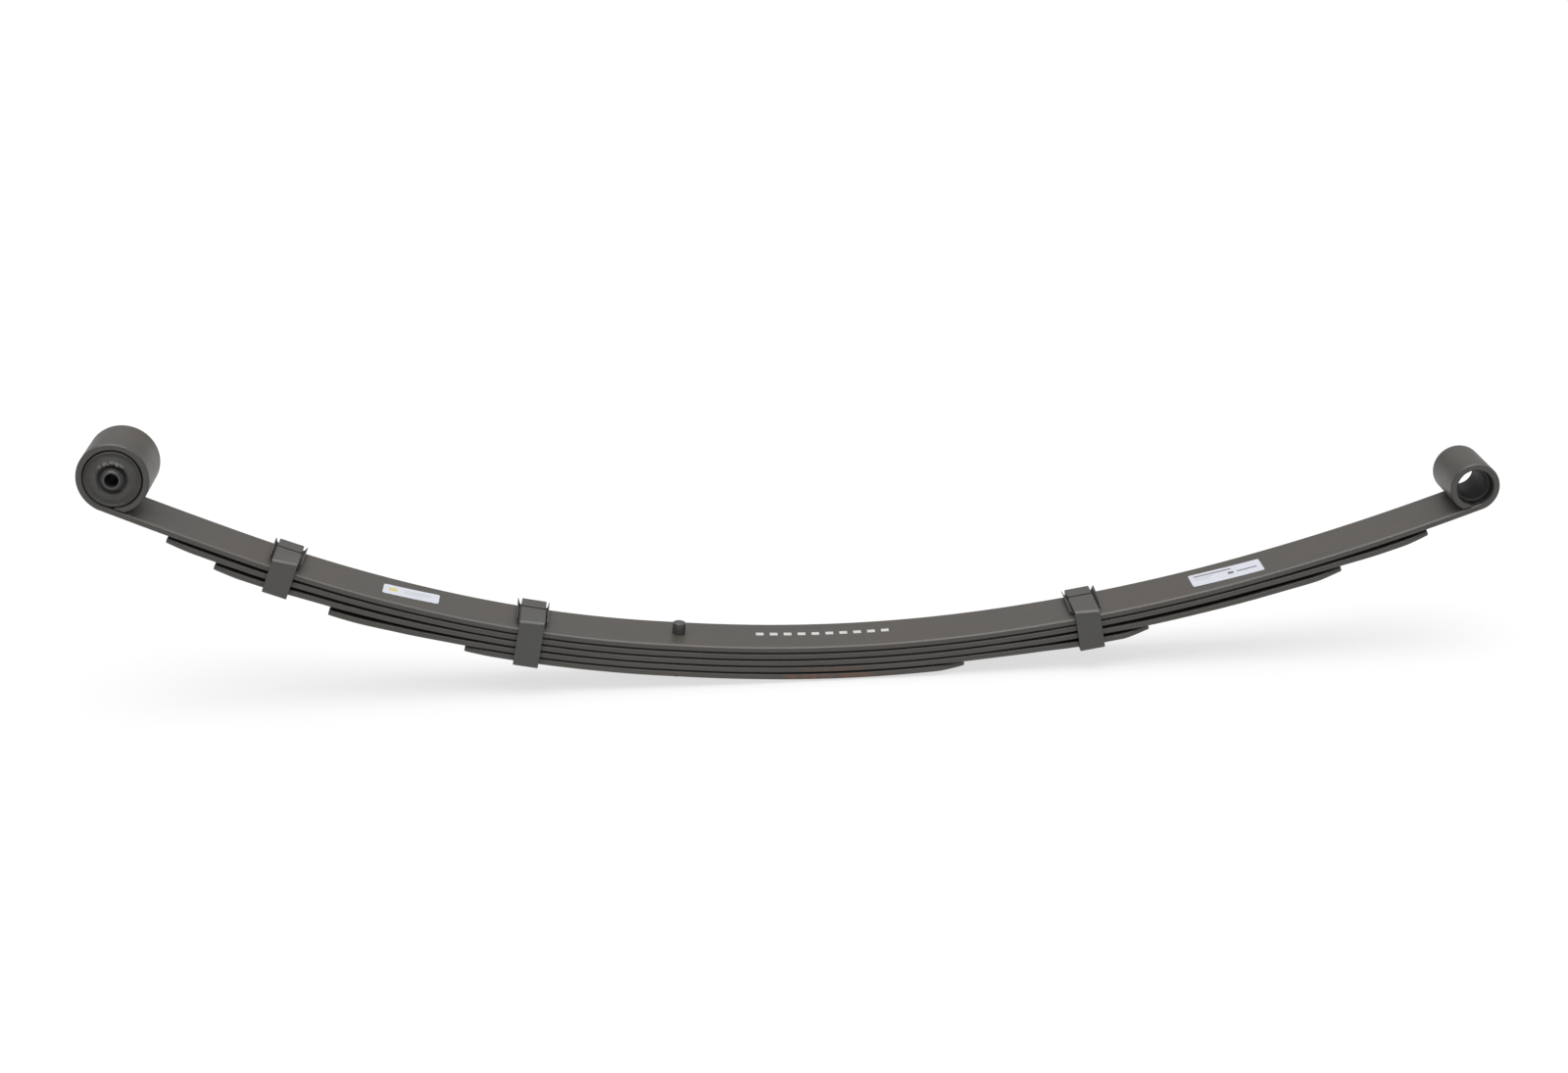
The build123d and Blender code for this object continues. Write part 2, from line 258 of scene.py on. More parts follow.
def stretch(tree, vector, scale):
    m = tree.nodes.new("ShaderNodeMapping")
    m.inputs["Scale"].default_value = scale
    tree.links.new(vector, m.inputs["Vector"])
    return m.outputs["Vector"]


def ramp(tree, fac, stops):
    r = tree.nodes.new("ShaderNodeValToRGB")
    r.color_ramp.elements[0].position, r.color_ramp.elements[0].color = stops[0]
    r.color_ramp.elements[1].position, r.color_ramp.elements[1].color = stops[-1]
    for position, color in stops[1:-1]:
        e = r.color_ramp.elements.new(position)
        e.color = color
    tree.links.new(fac, r.inputs["Fac"])
    return r.outputs["Color"]


def mix(tree, fac, a, b, mode="MIX"):
    m = tree.nodes.new("ShaderNodeMix")
    m.data_type = "RGBA"
    m.blend_type = mode
    for socket, value in ((m.inputs[0], fac), (m.inputs[6], a), (m.inputs[7], b)):
        if isinstance(value, bpy.types.NodeSocket):
            tree.links.new(value, socket)
        else:
            socket.default_value = value
    return m.outputs[2]


def maths(tree, op, a, b=0.0, clamp=False):
    m = tree.nodes.new("ShaderNodeMath")
    m.operation = op
    m.use_clamp = clamp
    for socket, value in ((m.inputs[0], a), (m.inputs[1], b)):
        if isinstance(value, bpy.types.NodeSocket):
            tree.links.new(value, socket)
        else:
            socket.default_value = value
    return m.outputs[0]


def grey(v):
    return (v, v, v, 1.0)


def tone(color, k):
    return (color[0] * k, color[1] * k, color[2] * k, 1.0)


def position(tree):
    return tree.nodes.new("ShaderNodeTexCoord").outputs["Object"]


def place_map(tree):
    """The (distance along, distance across) kept on a mesh, as two sockets in millimetres."""
    node = tree.nodes.new("ShaderNodeUVMap")
    node.uv_map = "place"
    parts = tree.nodes.new("ShaderNodeSeparateXYZ")
    tree.links.new(node.outputs["UV"], parts.inputs["Vector"])
    return parts.outputs["X"], parts.outputs["Y"]


def soft_box(tree, along, across, s0, s1, y0, y1, edge=0.4):
    """1 inside a box of the place map, 0 outside, over a soft edge."""
    inside = None
    for socket, low, high in ((along, s0, s1), (across, y0, y1)):
        middle, half = (low + high) / 2, (high - low) / 2
        off = maths(tree, "ABSOLUTE", maths(tree, "SUBTRACT", socket, middle))
        part = maths(tree, "DIVIDE", maths(tree, "SUBTRACT", half, off), edge, clamp=True)
        inside = part if inside is None else maths(tree, "MULTIPLY", inside, part)
    return inside


def paint(name, color, roughness=0.44, mottle=0.06, bump=0.06, rust=None, chips=0.0, marks=None):
    """Satin spray paint: slight warm and cool drifts, faint streaks along the strip, orange peel."""
    material = bpy.data.materials.new(name)
    tree, bsdf = nodes_of(material)
    at = position(tree)
    broad = noise(tree, at, 7.0, 3.0, 0.6)
    medium = noise(tree, at, 55.0, 5.0, 0.62)
    fine = noise(tree, at, 520.0, 4.0, 0.6)
    streak = noise(tree, stretch(tree, at, (9.0, 240.0, 60.0)), 1.0, 4.0, 0.6)
    warm = (color[0] * (1 + 0.5 * mottle), color[1], color[2] * (1 - 0.4 * mottle), 1)
    cool = (color[0] * (1 - 0.3 * mottle), color[1], color[2] * (1 + 0.3 * mottle), 1)
    base = ramp(tree, broad, ((0.36, cool), (0.5, tone(color, 1.0)), (0.64, warm)))
    for source, depth in ((medium, 1.3), (streak, 1.2), (fine, 1.0)):
        shade = ramp(tree, source, ((0.28, grey(1 - depth * mottle)), (0.72, grey(1 + depth * mottle))))
        base = mix(tree, 1.0, base, shade, "MULTIPLY")
    if chips:
        spots = ramp(tree, noise(tree, at, 210.0, 3.0, 0.55), ((0.62, grey(0.0)), (0.70, grey(1.0))))
        base = mix(tree, maths(tree, "MULTIPLY", spots, chips), base, tone(color, 3.6))
    if rust is not None:
        (s0, s1), amount = rust
        along, across = place_map(tree)
        near = soft_box(tree, along, across, s0, s1, -60.0, -22.0, edge=12.0)
        patch = maths(tree, "MULTIPLY", near, ramp(tree, noise(tree, at, 150.0, 6.0, 0.7),
                                                  ((0.42, grey(0.0)), (0.56, grey(1.0)))))
        base = mix(tree, maths(tree, "MULTIPLY", patch, amount, clamp=True), base, (0.115, 0.046, 0.024, 1))
    if marks is not None:
        base = mix(tree, marks(tree), base, (0.42, 0.42, 0.41, 1))
    tree.links.new(base, bsdf.inputs["Base Color"])
    rough = ramp(tree, medium, ((0.25, grey(roughness - 0.06)), (0.75, grey(roughness + 0.07))))
    tree.links.new(rough, bsdf.inputs["Roughness"])
    bsdf.inputs["Specular IOR Level"].default_value = 0.6
    b = tree.nodes.new("ShaderNodeBump")
    b.inputs["Strength"].default_value = bump
    b.inputs["Distance"].default_value = 0.0006
    height = maths(tree, "ADD", noise(tree, at, 1500.0, 3.0, 0.5), maths(tree, "MULTIPLY", fine, 0.8))
    tree.links.new(height, b.inputs["Height"])
    tree.links.new(b.outputs["Normal"], bsdf.inputs["Normal"])
    return material


def stencil_dashes(tree):
    """A row of plain white blocks where the maker's paint stencil would be."""
    along, across = place_map(tree)
    total = None
    for k in range(10):
        start = 75.0 + k * 13.6
        dash = soft_box(tree, along, across, start, start + 8.0, 0.5, 8.0, edge=0.5)
        total = dash if total is None else maths(tree, "ADD", total, dash, clamp=True)
    worn = ramp(tree, noise(tree, position(tree), 260.0, 4.0, 0.6), ((0.3, grey(0.82)), (0.45, grey(1.0))))
    return maths(tree, "MULTIPLY", total, worn)


LEAF_RGB = (0.0420, 0.0371, 0.0316)
LEAF = [paint(f"leaf_paint_{i}", tuple(c * k for c in LEAF_RGB)) for i, k in
        enumerate((1.0, 0.95, 1.0, 0.96, 1.02))]
LEAF_RUST = paint("leaf_paint_rust", LEAF_RGB, rust=((96.0, 190.0), 1.0))
LEAF_STAIN = paint("leaf_paint_stain", LEAF_RGB, rust=((112.0, 182.0), 0.5))
LEAF_MARKED = paint("leaf_paint_marked", LEAF_RGB, marks=stencil_dashes)
# near-black bare steel; on the leaves, shell lip and sleeve bore it also paints the shade in gaps, grooves
# and holes
BARE_SCALE_SHADE = paint("bare_scale_and_gap_shade", (0.007, 0.0065, 0.006), roughness=0.65, mottle=0.2, bump=0.2)
# inside the eyes: rougher, thinner paint, darkened further as painted shade
BORE_SHADE = paint("eye_bore_painted_shade", (0.014, 0.0135, 0.013), roughness=0.62, mottle=0.2, bump=0.3)
CLIP = paint("clip_paint", (0.041, 0.0396, 0.0365), mottle=0.04, bump=0.04)
LINER = paint("liner_paint", (0.050, 0.048, 0.044), mottle=0.12, chips=0.35, bump=0.25)
HARDWARE = paint("hardware_paint", (0.043, 0.040, 0.040), roughness=0.36)
SHELL = paint("bushing_shell_paint", (0.046, 0.044, 0.042), roughness=0.55, mottle=0.1, bump=0.15)
SLEEVE = paint("bushing_sleeve_paint", (0.044, 0.041, 0.040), roughness=0.42, mottle=0.1, bump=0.12)


def rubber_material():
    material = bpy.data.materials.new("bushing_rubber")
    tree, bsdf = nodes_of(material)
    at = position(tree)
    coarse = noise(tree, at, 90.0, 5.0, 0.65)
    fine = noise(tree, at, 700.0, 5.0, 0.6)
    base = ramp(tree, coarse, ((0.3, (0.032, 0.030, 0.029, 1)), (0.55, (0.042, 0.040, 0.038, 1)),
                               (0.75, (0.060, 0.058, 0.055, 1))))
    base = mix(tree, 1.0, base, ramp(tree, fine, ((0.3, grey(0.88)), (0.7, grey(1.1)))), "MULTIPLY")
    radius, upper = place_map(tree)
    # painted highlight: lighter flakes on the ring's upper crest, where it is also torn
    torn = soft_box(tree, radius, upper, 13.2, 18.6, 22.0, 140.0, edge=2.2)
    highlight_flakes = ramp(tree, noise(tree, at, 260.0, 5.0, 0.65), ((0.44, grey(0.0)), (0.56, grey(1.0))))
    base = mix(tree, maths(tree, "MULTIPLY", torn, highlight_flakes), base, (0.17, 0.165, 0.16, 1))
    tree.links.new(base, bsdf.inputs["Base Color"])
    tree.links.new(ramp(tree, coarse, ((0.3, grey(0.5)), (0.7, grey(0.72)))), bsdf.inputs["Roughness"])
    b = tree.nodes.new("ShaderNodeBump")
    b.inputs["Strength"].default_value = 0.35
    b.inputs["Distance"].default_value = 0.001
    tree.links.new(maths(tree, "ADD", coarse, fine), b.inputs["Height"])
    tree.links.new(b.outputs["Normal"], bsdf.inputs["Normal"])
    return material


RUBBER = rubber_material()


def paper_material(name, blocks):
    """White label stock with plain printed blocks, each (s0, s1, y0, y1, colour) on the place map."""
    material = bpy.data.materials.new(name)
    tree, bsdf = nodes_of(material)
    at = position(tree)
    fibre = noise(tree, at, 900.0, 6.0, 0.7)
    soil = noise(tree, at, 60.0, 4.0, 0.6)
    base = ramp(tree, fibre, ((0.3, (0.43, 0.445, 0.485, 1)), (0.7, (0.47, 0.485, 0.53, 1))))
    base = mix(tree, 1.0, base, ramp(tree, soil, ((0.3, grey(0.94)), (0.6, grey(1.0)))), "MULTIPLY")
    along, across = place_map(tree)
    for s0, s1, y0, y1, color in blocks:
        base = mix(tree, soft_box(tree, along, across, s0, s1, y0, y1, edge=0.3), base, (*color, 1))
    tree.links.new(base, bsdf.inputs["Base Color"])
    bsdf.inputs["Roughness"].default_value = 0.55
    b = tree.nodes.new("ShaderNodeBump")
    b.inputs["Strength"].default_value = 0.1
    b.inputs["Distance"].default_value = 0.0003
    tree.links.new(fibre, b.inputs["Height"])
    tree.links.new(b.outputs["Normal"], bsdf.inputs["Normal"])
    return material


INK = (0.10, 0.10, 0.11)
FAINT = (0.27, 0.27, 0.29)
SAND = (0.44, 0.39, 0.17)
SMALL_PAPER = paper_material("small_label_paper", [
    (274.0, 283.0, -2.5, 6.5, SAND),
    (241.0, 268.0, 5.0, 6.2, FAINT), (241.0, 268.0, 1.2, 2.4, FAINT), (250.0, 268.0, -2.6, -1.4, FAINT)])
LARGE_PAPER = paper_material("large_label_paper", [
    (508.0, 545.0, 5.5, 8.5, INK), (508.0, 526.0, 0.5, 1.8, FAINT), (508.0, 522.0, -3.5, -2.2, FAINT),
    (540.0, 546.0, -6.0, 0.0, INK), (549.0, 569.0, -4.5, -1.5, INK)])


# ---------------------------------------------------------------- leaves
def leaf_half(side, leaf, material):
    """One half of a leaf, from the bolt to its trimmed tip or round its eye."""
    tip = TIPS[side][leaf - 1]
    rings, place = [], []

    def ring(s, inset, shrink=0.0):
        half = WIDTH / 2 - inset - shrink
        out = []
        base = leaf_depth(side, leaf, s)
        for y, d in rounded(half, shrink, THICK - shrink, EDGE_R - shrink * 0.6, bulge=EDGE_BULGE):
            x, z = depth_point(side, s, base + d)
            out.append((x, y, z))
            place.append((s, y))
        return out

    def trim(s):
        t = max(0.0, (s - (tip - TIP_LENGTH)) / TIP_LENGTH)
        return INSETS[side][leaf - 1] * t ** 1.4

    if leaf == 1:
        for s in spread(0.0, tip, 6.0):
            rings.append(ring(s, 0.0))
        curl = eye_rings(side)
        rings += curl
        place += [(tip, y) for ring_points in curl for _, y, _ in ring_points]
    else:
        for s in spread(0.0, tip - TIP_LENGTH, 6.0) + spread(tip - TIP_LENGTH, tip - 0.9, 2.0)[1:]:
            rings.append(ring(s, trim(s)))
        for shrink, back in ((0.12, 0.5), (0.4, 0.18), (0.8, 0.0)):
            rings.append(ring(tip - back, trim(tip), shrink))
    name = f"{LEAVES[leaf - 1]}_leaf_{END[side]}_half"
    obj = add_mesh(name, *loft(rings), material, sharp=42.0, place=place)
    if leaf == 1:
        paint_bore_shade(obj, side)
    bare_and_shaded_contact_faces(obj, side, leaf)
    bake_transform(obj)
    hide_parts(f"{LEAVES[leaf - 1]}_leaf_centre", f"{LEAVES[leaf - 1]}_leaf_{END[side]}")
    return obj


def bare_and_shaded_contact_faces(obj, side, leaf):
    """The pack is sprayed after it is put together, so faces that touch another leaf stay bare; their
    near-black colour is also painted shade in the gaps between leaves.
    """
    obj.data.materials.append(BARE_SCALE_SHADE)
    bare = len(obj.data.materials) - 1
    uv = obj.data.uv_layers["place"].data
    for face in obj.data.polygons:
        s = sum(uv[i].uv[0] for i in face.loop_indices) / face.loop_total
        if s >= TIPS[side][1] and leaf == 1:
            continue
        down = depth_in_leaf(side, leaf, s, face.center / MM)
        all_gaps = leaf_depth(side, 5, s) - 4 * THICK
        # the bare, shaded band narrows where the leaves stand further apart
        reach = BARE_SHADE_DEPTH - 0.04 * min(10.0, all_gaps)
        under = leaf < 5 and s < TIPS[side][leaf] and down > THICK - reach
        over = leaf > 1 and s < TIPS[side][leaf - 1] - 1.0 and down < reach
        if under or over:
            face.material_index = bare


def depth_in_leaf(side, leaf, s, point):
    """How far below the leaf's top face a point lies, at distance s."""
    top = Vector(depth_point(side, s, leaf_depth(side, leaf, s)))
    below = Vector(depth_point(side, s, leaf_depth(side, leaf, s) + 1.0))
    return (Vector((point.x, point.z)) - top).dot(below - top)


def paint_bore_shade(obj, side):
    """The inside of an eye is rougher and less covered by paint than the rest of the leaf; its darker
    colour is also painted shade in the bore.
    """
    cx, cz, _, radius = eye_frame(side)
    obj.data.materials.append(BORE_SHADE)
    for face in obj.data.polygons:
        c = face.center / MM
        if math.hypot(c.x - cx, c.z - cz) < radius + 0.8:
            face.material_index = 1


def eye_rings(side):
    """Sections of the upturned eye, curling from the leaf's contact line to its scarfed end."""
    cx, cz, tilt, radius = eye_frame(side)
    outer = radius + THICK
    taper_from = 2 * math.pi - math.acos((radius - CURL_GAP) / outer)
    stop = 2 * math.pi - math.acos(1 - (CURL_GAP + TONGUE) / radius)
    turns = spread(0.0, taper_from, math.radians(4.0))[1:]
    turns += spread(taper_from, stop - 0.03, math.radians(3.0))[1:]
    rings = []
    for turn, shrink in [(t, 0.0) for t in turns] + [(stop - 0.012, 0.15), (stop, 0.5)]:
        wall = THICK
        if turn > taper_from:
            wall = (radius - CURL_GAP) / math.cos(2 * math.pi - turn) - radius
        a = tilt + turn
        ring = []
        corner, bulge = min(EDGE_R, wall * 0.3), min(EDGE_BULGE, wall * 0.05)
        for y, d in rounded(WIDTH / 2 - shrink, shrink, wall - shrink, corner, bulge=bulge):
            r = radius + d
            ring.append((cx + side * r * math.sin(a), y, cz - r * math.cos(a)))
        rings.append(ring)
    return rings


SPECIAL_PAINT = {(5, 1): LEAF_RUST, (4, 1): LEAF_STAIN, (1, 1): LEAF_MARKED}
for number in range(1, 6):
    for direction in (-1, 1):
        leaf_half(direction, number, SPECIAL_PAINT.get((number, direction), LEAF[number - 1]))


# ---------------------------------------------------------------- turned pieces
def lathe(profile, segments=96):
    """Verts and faces of a closed (radius, height) profile turned about z."""
    verts, faces = [], []
    n = len(profile)
    for i in range(segments):
        a = 2 * math.pi * i / segments
        verts += [(r * math.cos(a), r * math.sin(a), h) for r, h in profile]
    for i in range(segments):
        j = (i + 1) % segments
        for k in range(n):
            m = (k + 1) % n
            faces.append((i * n + k, j * n + k, j * n + m, i * n + m))
    return verts, faces


def solid_of_turn(profile, segments=64):
    """As lathe, for an open profile that starts and ends on the axis."""
    verts = [(0, 0, profile[0][1])]
    faces = []
    inner = profile[1:-1]
    n = len(inner)
    for i in range(segments):
        a = 2 * math.pi * i / segments
        verts += [(r * math.cos(a), r * math.sin(a), h) for r, h in inner]
    verts.append((0, 0, profile[-1][1]))
    top = len(verts) - 1
    for i in range(segments):
        j = (i + 1) % segments
        a0, b0 = 1 + i * n, 1 + j * n
        faces.append((0, b0, a0))
        for k in range(n - 1):
            faces.append((a0 + k, b0 + k, b0 + k + 1, a0 + k + 1))
        faces.append((a0 + n - 1, b0 + n - 1, top))
    return verts, faces


def moved(verts, matrix):
    return [tuple(matrix @ Vector(v)) for v in verts]


STACK = leaf_depth(1, 5, 0.0) + THICK


def centre_bolt():
    low = -(STACK + 0.1 + 8.3 + 2.2)
    profile = [(0, 11.4), (4.9, 11.4), (5.5, 11.3), (6.0, 11.0), (6.25, 10.6), (6.35, 10.1), (6.35, 0.5),
               (6.3, 0.15), (6.0, 0.0), (4.76, 0.0), (4.76, -0.5), (4.76, -STACK + 0.5)]
    z = -STACK - 0.1
    pitch = 1.058
    while z - pitch > low + 1.0:
        profile += [(4.76, z), (4.76, z - 0.12 * pitch), (4.2, z - 0.5 * pitch), (4.2, z - 0.62 * pitch)]
        z -= pitch
    profile += [(4.76, z), (4.0, low), (0, low)]
    obj = add_mesh("centre_bolt_detailed", *solid_of_turn(profile), HARDWARE, sharp=35.0)
    belongs(obj, "axle_seat", "centre_bolt")


def centre_nut():
    height, flats = 8.3, 14.3
    low = -STACK - 0.1 - height
    segments = 96
    rings = []
    crown = flats / 2 + 0.25
    for h, grow, inside in ((0.0, 0.0, 0), (0.25, 0.28, 0), (0.9, 9.0, 0), (height - 0.9, 9.0, 0),
                            (height - 0.25, 0.28, 0), (height, 0.0, 0)):
        ring = []
        for i in range(segments):
            a = 2 * math.pi * i / segments
            wedge = (a + math.pi / 6) % (math.pi / 3) - math.pi / 6
            hexagon = flats / 2 / math.cos(wedge)
            limit = crown + (h if h < height / 2 else height - h) * 1.75
            r = min(hexagon, limit if grow < 5 else crown + 1.6)
            ring.append((r * math.cos(a), r * math.sin(a), low + h))
        rings.append(ring)
    for r, h in ((5.4, height), (4.9, height - 0.5), (4.85, 0.5), (5.4, 0.0)):
        angles = [2 * math.pi * i / segments for i in range(segments)]
        rings.append([(r * math.cos(a), r * math.sin(a), low + h) for a in angles])
    obj = add_mesh("centre_nut_detailed", *loft(rings, closed=True), HARDWARE, sharp=25.0)
    belongs(obj, "axle_seat", "centre_nut")


centre_bolt()
centre_nut()


def eye_axis(side):
    """Matrix that lays a piece turned about z along an eye's axis, its top towards the near side."""
    cx, cz, _, _ = eye_frame(side)
    return Matrix.Translation((cx, 0, cz)) @ Matrix.Rotation(math.radians(90), 4, "X")


def bushing():
    """Shell, bonded rubber with its moulded ring, and inner sleeve of the front eye."""
    turn = eye_axis(-1)
    out, wall, half = EYE_R[-1] - 0.1, SHELL_WALL, SHELL_LENGTH / 2
    profile = []
    for sign in (1, -1):
        edge = [(out, half - 5.0), (out - 0.5, half - 3.0), (out - 0.65, half - 0.9),
                (out - 0.85, half - 0.3), (out - 1.2, half), (out - wall + 0.05, half - 0.1),
                (out - wall, half - 3.0)]
        edge = [(r, sign * h) for r, h in edge]
        profile += edge if sign > 0 else edge[::-1]
    verts, faces = lathe(profile)
    shell = add_mesh("bushing_shell_detailed", moved(verts, turn), faces, SHELL)
    # near-black outer lip: painted shade in the groove between shell and eye
    shade_between_radii(shell, -1, out - 0.62, out + 1.0)
    belongs(shell, "main_front", "bushing_shell")

    bore, inner, end = SLEEVE_R + 0.05, out - wall - 0.1, RUBBER_END
    face = [
        (bore, end - 4.0), (bore, end + 0.5), (9.8, end + 0.95), (10.2, end + 0.95), (10.55, end + 0.6),
        (10.65, end - 0.4), (10.8, end - 3.2), (11.4, end - 3.8), (12.2, end - 3.3), (12.9, end - 2.3),
        (13.7, end - 1.0), (14.4, end), (15.1, end + 0.7), (16.0, end + 1.0), (17.0, end + 1.05),
        (18.2, end + 0.75), (19.6, end + 0.15), (21.0, end - 0.6), (22.4, end - 1.3), (23.4, end - 1.7),
        (24.2, end - 1.6), (24.9, end - 0.9), (25.3, end - 0.3), (inner - 0.1, end - 0.1),
        (inner, end - 0.5), (inner, end - 5.0)]
    profile = face + [(r, -h) for r, h in face[::-1]]
    verts, faces = lathe(profile, 180)
    torn, place = [], []
    for x, y, z in verts:
        r = math.hypot(x, y)
        a = math.degrees(math.atan2(y, x))
        # top also carries, in the place map, where the rubber's painted highlight goes
        top = max(0.0, 1 - abs((a - TEAR_AT + 180) % 360 - 180) / TEAR_REACH)
        if abs(z) > end - 2.4 and 12.8 < r < 23:
            ripple = 0.16 * math.sin(math.radians(a * 7 + r * 40)) * math.sin(math.radians(a * 3 - 40))
            lip = max(0.0, 1 - abs(r - 15.0) / 3.0) * min(1.0, 2 * top)
            jag = math.sin(math.radians(a * 9)) + 0.7 * math.sin(math.radians(a * 23 + 50))
            tear = 0.55 * jag + 0.4 * math.sin(math.radians(a * 47 + r * 90))
            k = 1 + 0.045 * lip * jag
            x, y = x * k, y * k
            z += math.copysign(min(0.3, ripple + lip * (tear - 0.3)), z)
        torn.append((x, y, z))
        place.append((r, 100.0 * top if z > 0 else 0.0))
    rubber = add_mesh("bushing_rubber_moulded", moved(torn, turn), faces, RUBBER, sharp=50.0, place=place)
    belongs(rubber, "main_front", "bushing_rubber")

    half = SLEEVE_LENGTH / 2
    edge = [(SLEEVE_R, half - 4.0), (SLEEVE_R, half - 2.1), (9.3, half - 1.6), (8.5, half - 0.4),
            (8.2, half - 0.1), (7.9, half), (7.2, half), (6.75, half - 0.2), (SLEEVE_BORE_R, half - 0.7),
            (SLEEVE_BORE_R, half - 4.0)]
    profile = edge + [(r, -h) for r, h in edge[::-1]]
    verts, faces = lathe(profile, 72)
    sleeve = add_mesh("bushing_sleeve_turned", moved(verts, turn), faces, SLEEVE)
    # near-black bore: painted shade in the sleeve's hole
    shade_between_radii(sleeve, -1, 0.0, SLEEVE_BORE_R + 0.4)
    belongs(sleeve, "sleeve", "bushing_sleeve")


def shade_between_radii(obj, side, low, high):
    """The faces between two radii about an eye's axis get the near-black colour, painted shade in a groove
    or bore.
    """
    cx, cz, _, _ = eye_frame(side)
    obj.data.materials.append(BARE_SCALE_SHADE)
    for face in obj.data.polygons:
        c = face.center / MM
        if low < math.hypot(c.x - cx, c.z - cz) < high:
            face.material_index = 1


def rear_eye_liner():
    """Plain tube set back inside the rear eye."""
    out, bore = EYE_TUBE_R, EYE_TUBE_BORE_R
    edge = [(out, 2.0), (out, 0.5), (out - 0.4, 0.1), (out - 0.8, 0.0), (bore + 0.9, 0.0),
            (bore + 0.35, 0.15), (bore, 0.6), (bore, 2.0)]
    profile = [(r, EYE_TUBE_NEAR - h) for r, h in edge] + [(r, h - EYE_TUBE_FAR) for r, h in edge[::-1]]
    verts, faces = lathe(profile)
    # the liner takes the bore's dark colour, painted shade deep in the eye
    liner = add_mesh("rear_eye_liner_tube", moved(verts, eye_axis(1)), faces, BORE_SHADE)
    belongs(liner, "main_rear", "rear_eye_liner")


bushing()
rear_eye_liner()


# ---------------------------------------------------------------- clips
# name, side, distance from the bolt, lowest leaf inside, liner's lift over the main leaf, rise of the
# arms over the liner, rise of the near arm (inner, outer edge), lean of the ears (inner, outer), body
CLIPS = (
    ("front_clip", -1, 383.4, 3, 0.95, 1.0, (6.8, 3.6), (1.4, 1.6), "third_front"),
    ("middle_clip", -1, 142.4, 5, 0.55, 2.8, (4.0, 2.6), (0.2, 1.8), "fifth_front"),
    ("rear_clip", 1, 395.8, 4, 0.8, 1.5, (3.0, 0.2), (1.2, 2.2), "fourth_rear"),
)
BAND = 24.0
BEND_R = 4.2
CLIP_THICK = 3.0
LINER_THICK = 0.8
LINER_NEAR = -20.0
LINER_FAR = 31.2
EAR_ROOT = 14.6         # from the clip's middle to the foot of an ear
SEAM_AT = 0.69          # share of the leaf's width, from the near side


def place_piece(obj, body, side, distance, node):
    """Rides a clip piece on its leaf beyond the bend, or bakes it in place where the leaves bend."""
    near, far = BEND[side]
    if distance < far:
        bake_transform(obj)
    else:
        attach(obj, body)
    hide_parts(node)


def strip_path(points, radius, step=0.35):
    """Polyline with rounded corners as (point, normal) pairs in the y, z plane."""
    out = []
    n = len(points)
    for i, p in enumerate(points):
        p = Vector(p)
        if i in (0, n - 1):
            q = Vector(points[1] if i == 0 else points[-2])
            d = (q - p).normalized() if i == 0 else (p - q).normalized()
            out.append((p, Vector((-d.y, d.x))))
            continue
        a, b = Vector(points[i - 1]), Vector(points[i + 1])
        u, v = (p - a).normalized(), (b - p).normalized()
        turn = u.angle(v)
        cut = radius * math.tan(turn / 2)
        sign = 1 if u.x * v.y - u.y * v.x > 0 else -1
        nu = Vector((-u.y, u.x)) * sign
        start = p - u * cut
        centre = start + nu * radius
        count = max(4, round(turn / step * 2))
        for k in range(count + 1):
            w = turn * k / count * sign
            r = -nu
            r = Vector((r.x * math.cos(w) - r.y * math.sin(w), r.x * math.sin(w) + r.y * math.cos(w)))
            out.append((centre + r * radius, r * (-sign)))
    return out


def densify(path, step=3.0):
    out = [path[0]]
    for (p, n), (q, m) in zip(path, path[1:]):
        count = max(1, int((q - p).length / step))
        for k in range(1, count + 1):
            t = k / count
            out.append((p.lerp(q, t), n.lerp(m, t).normalized()))
    return out


def flip(matrix):
    """Sign that keeps a local y pointing along the row's +Y."""
    return 1.0 if matrix.to_3x3().col[1].y > 0 else -1.0


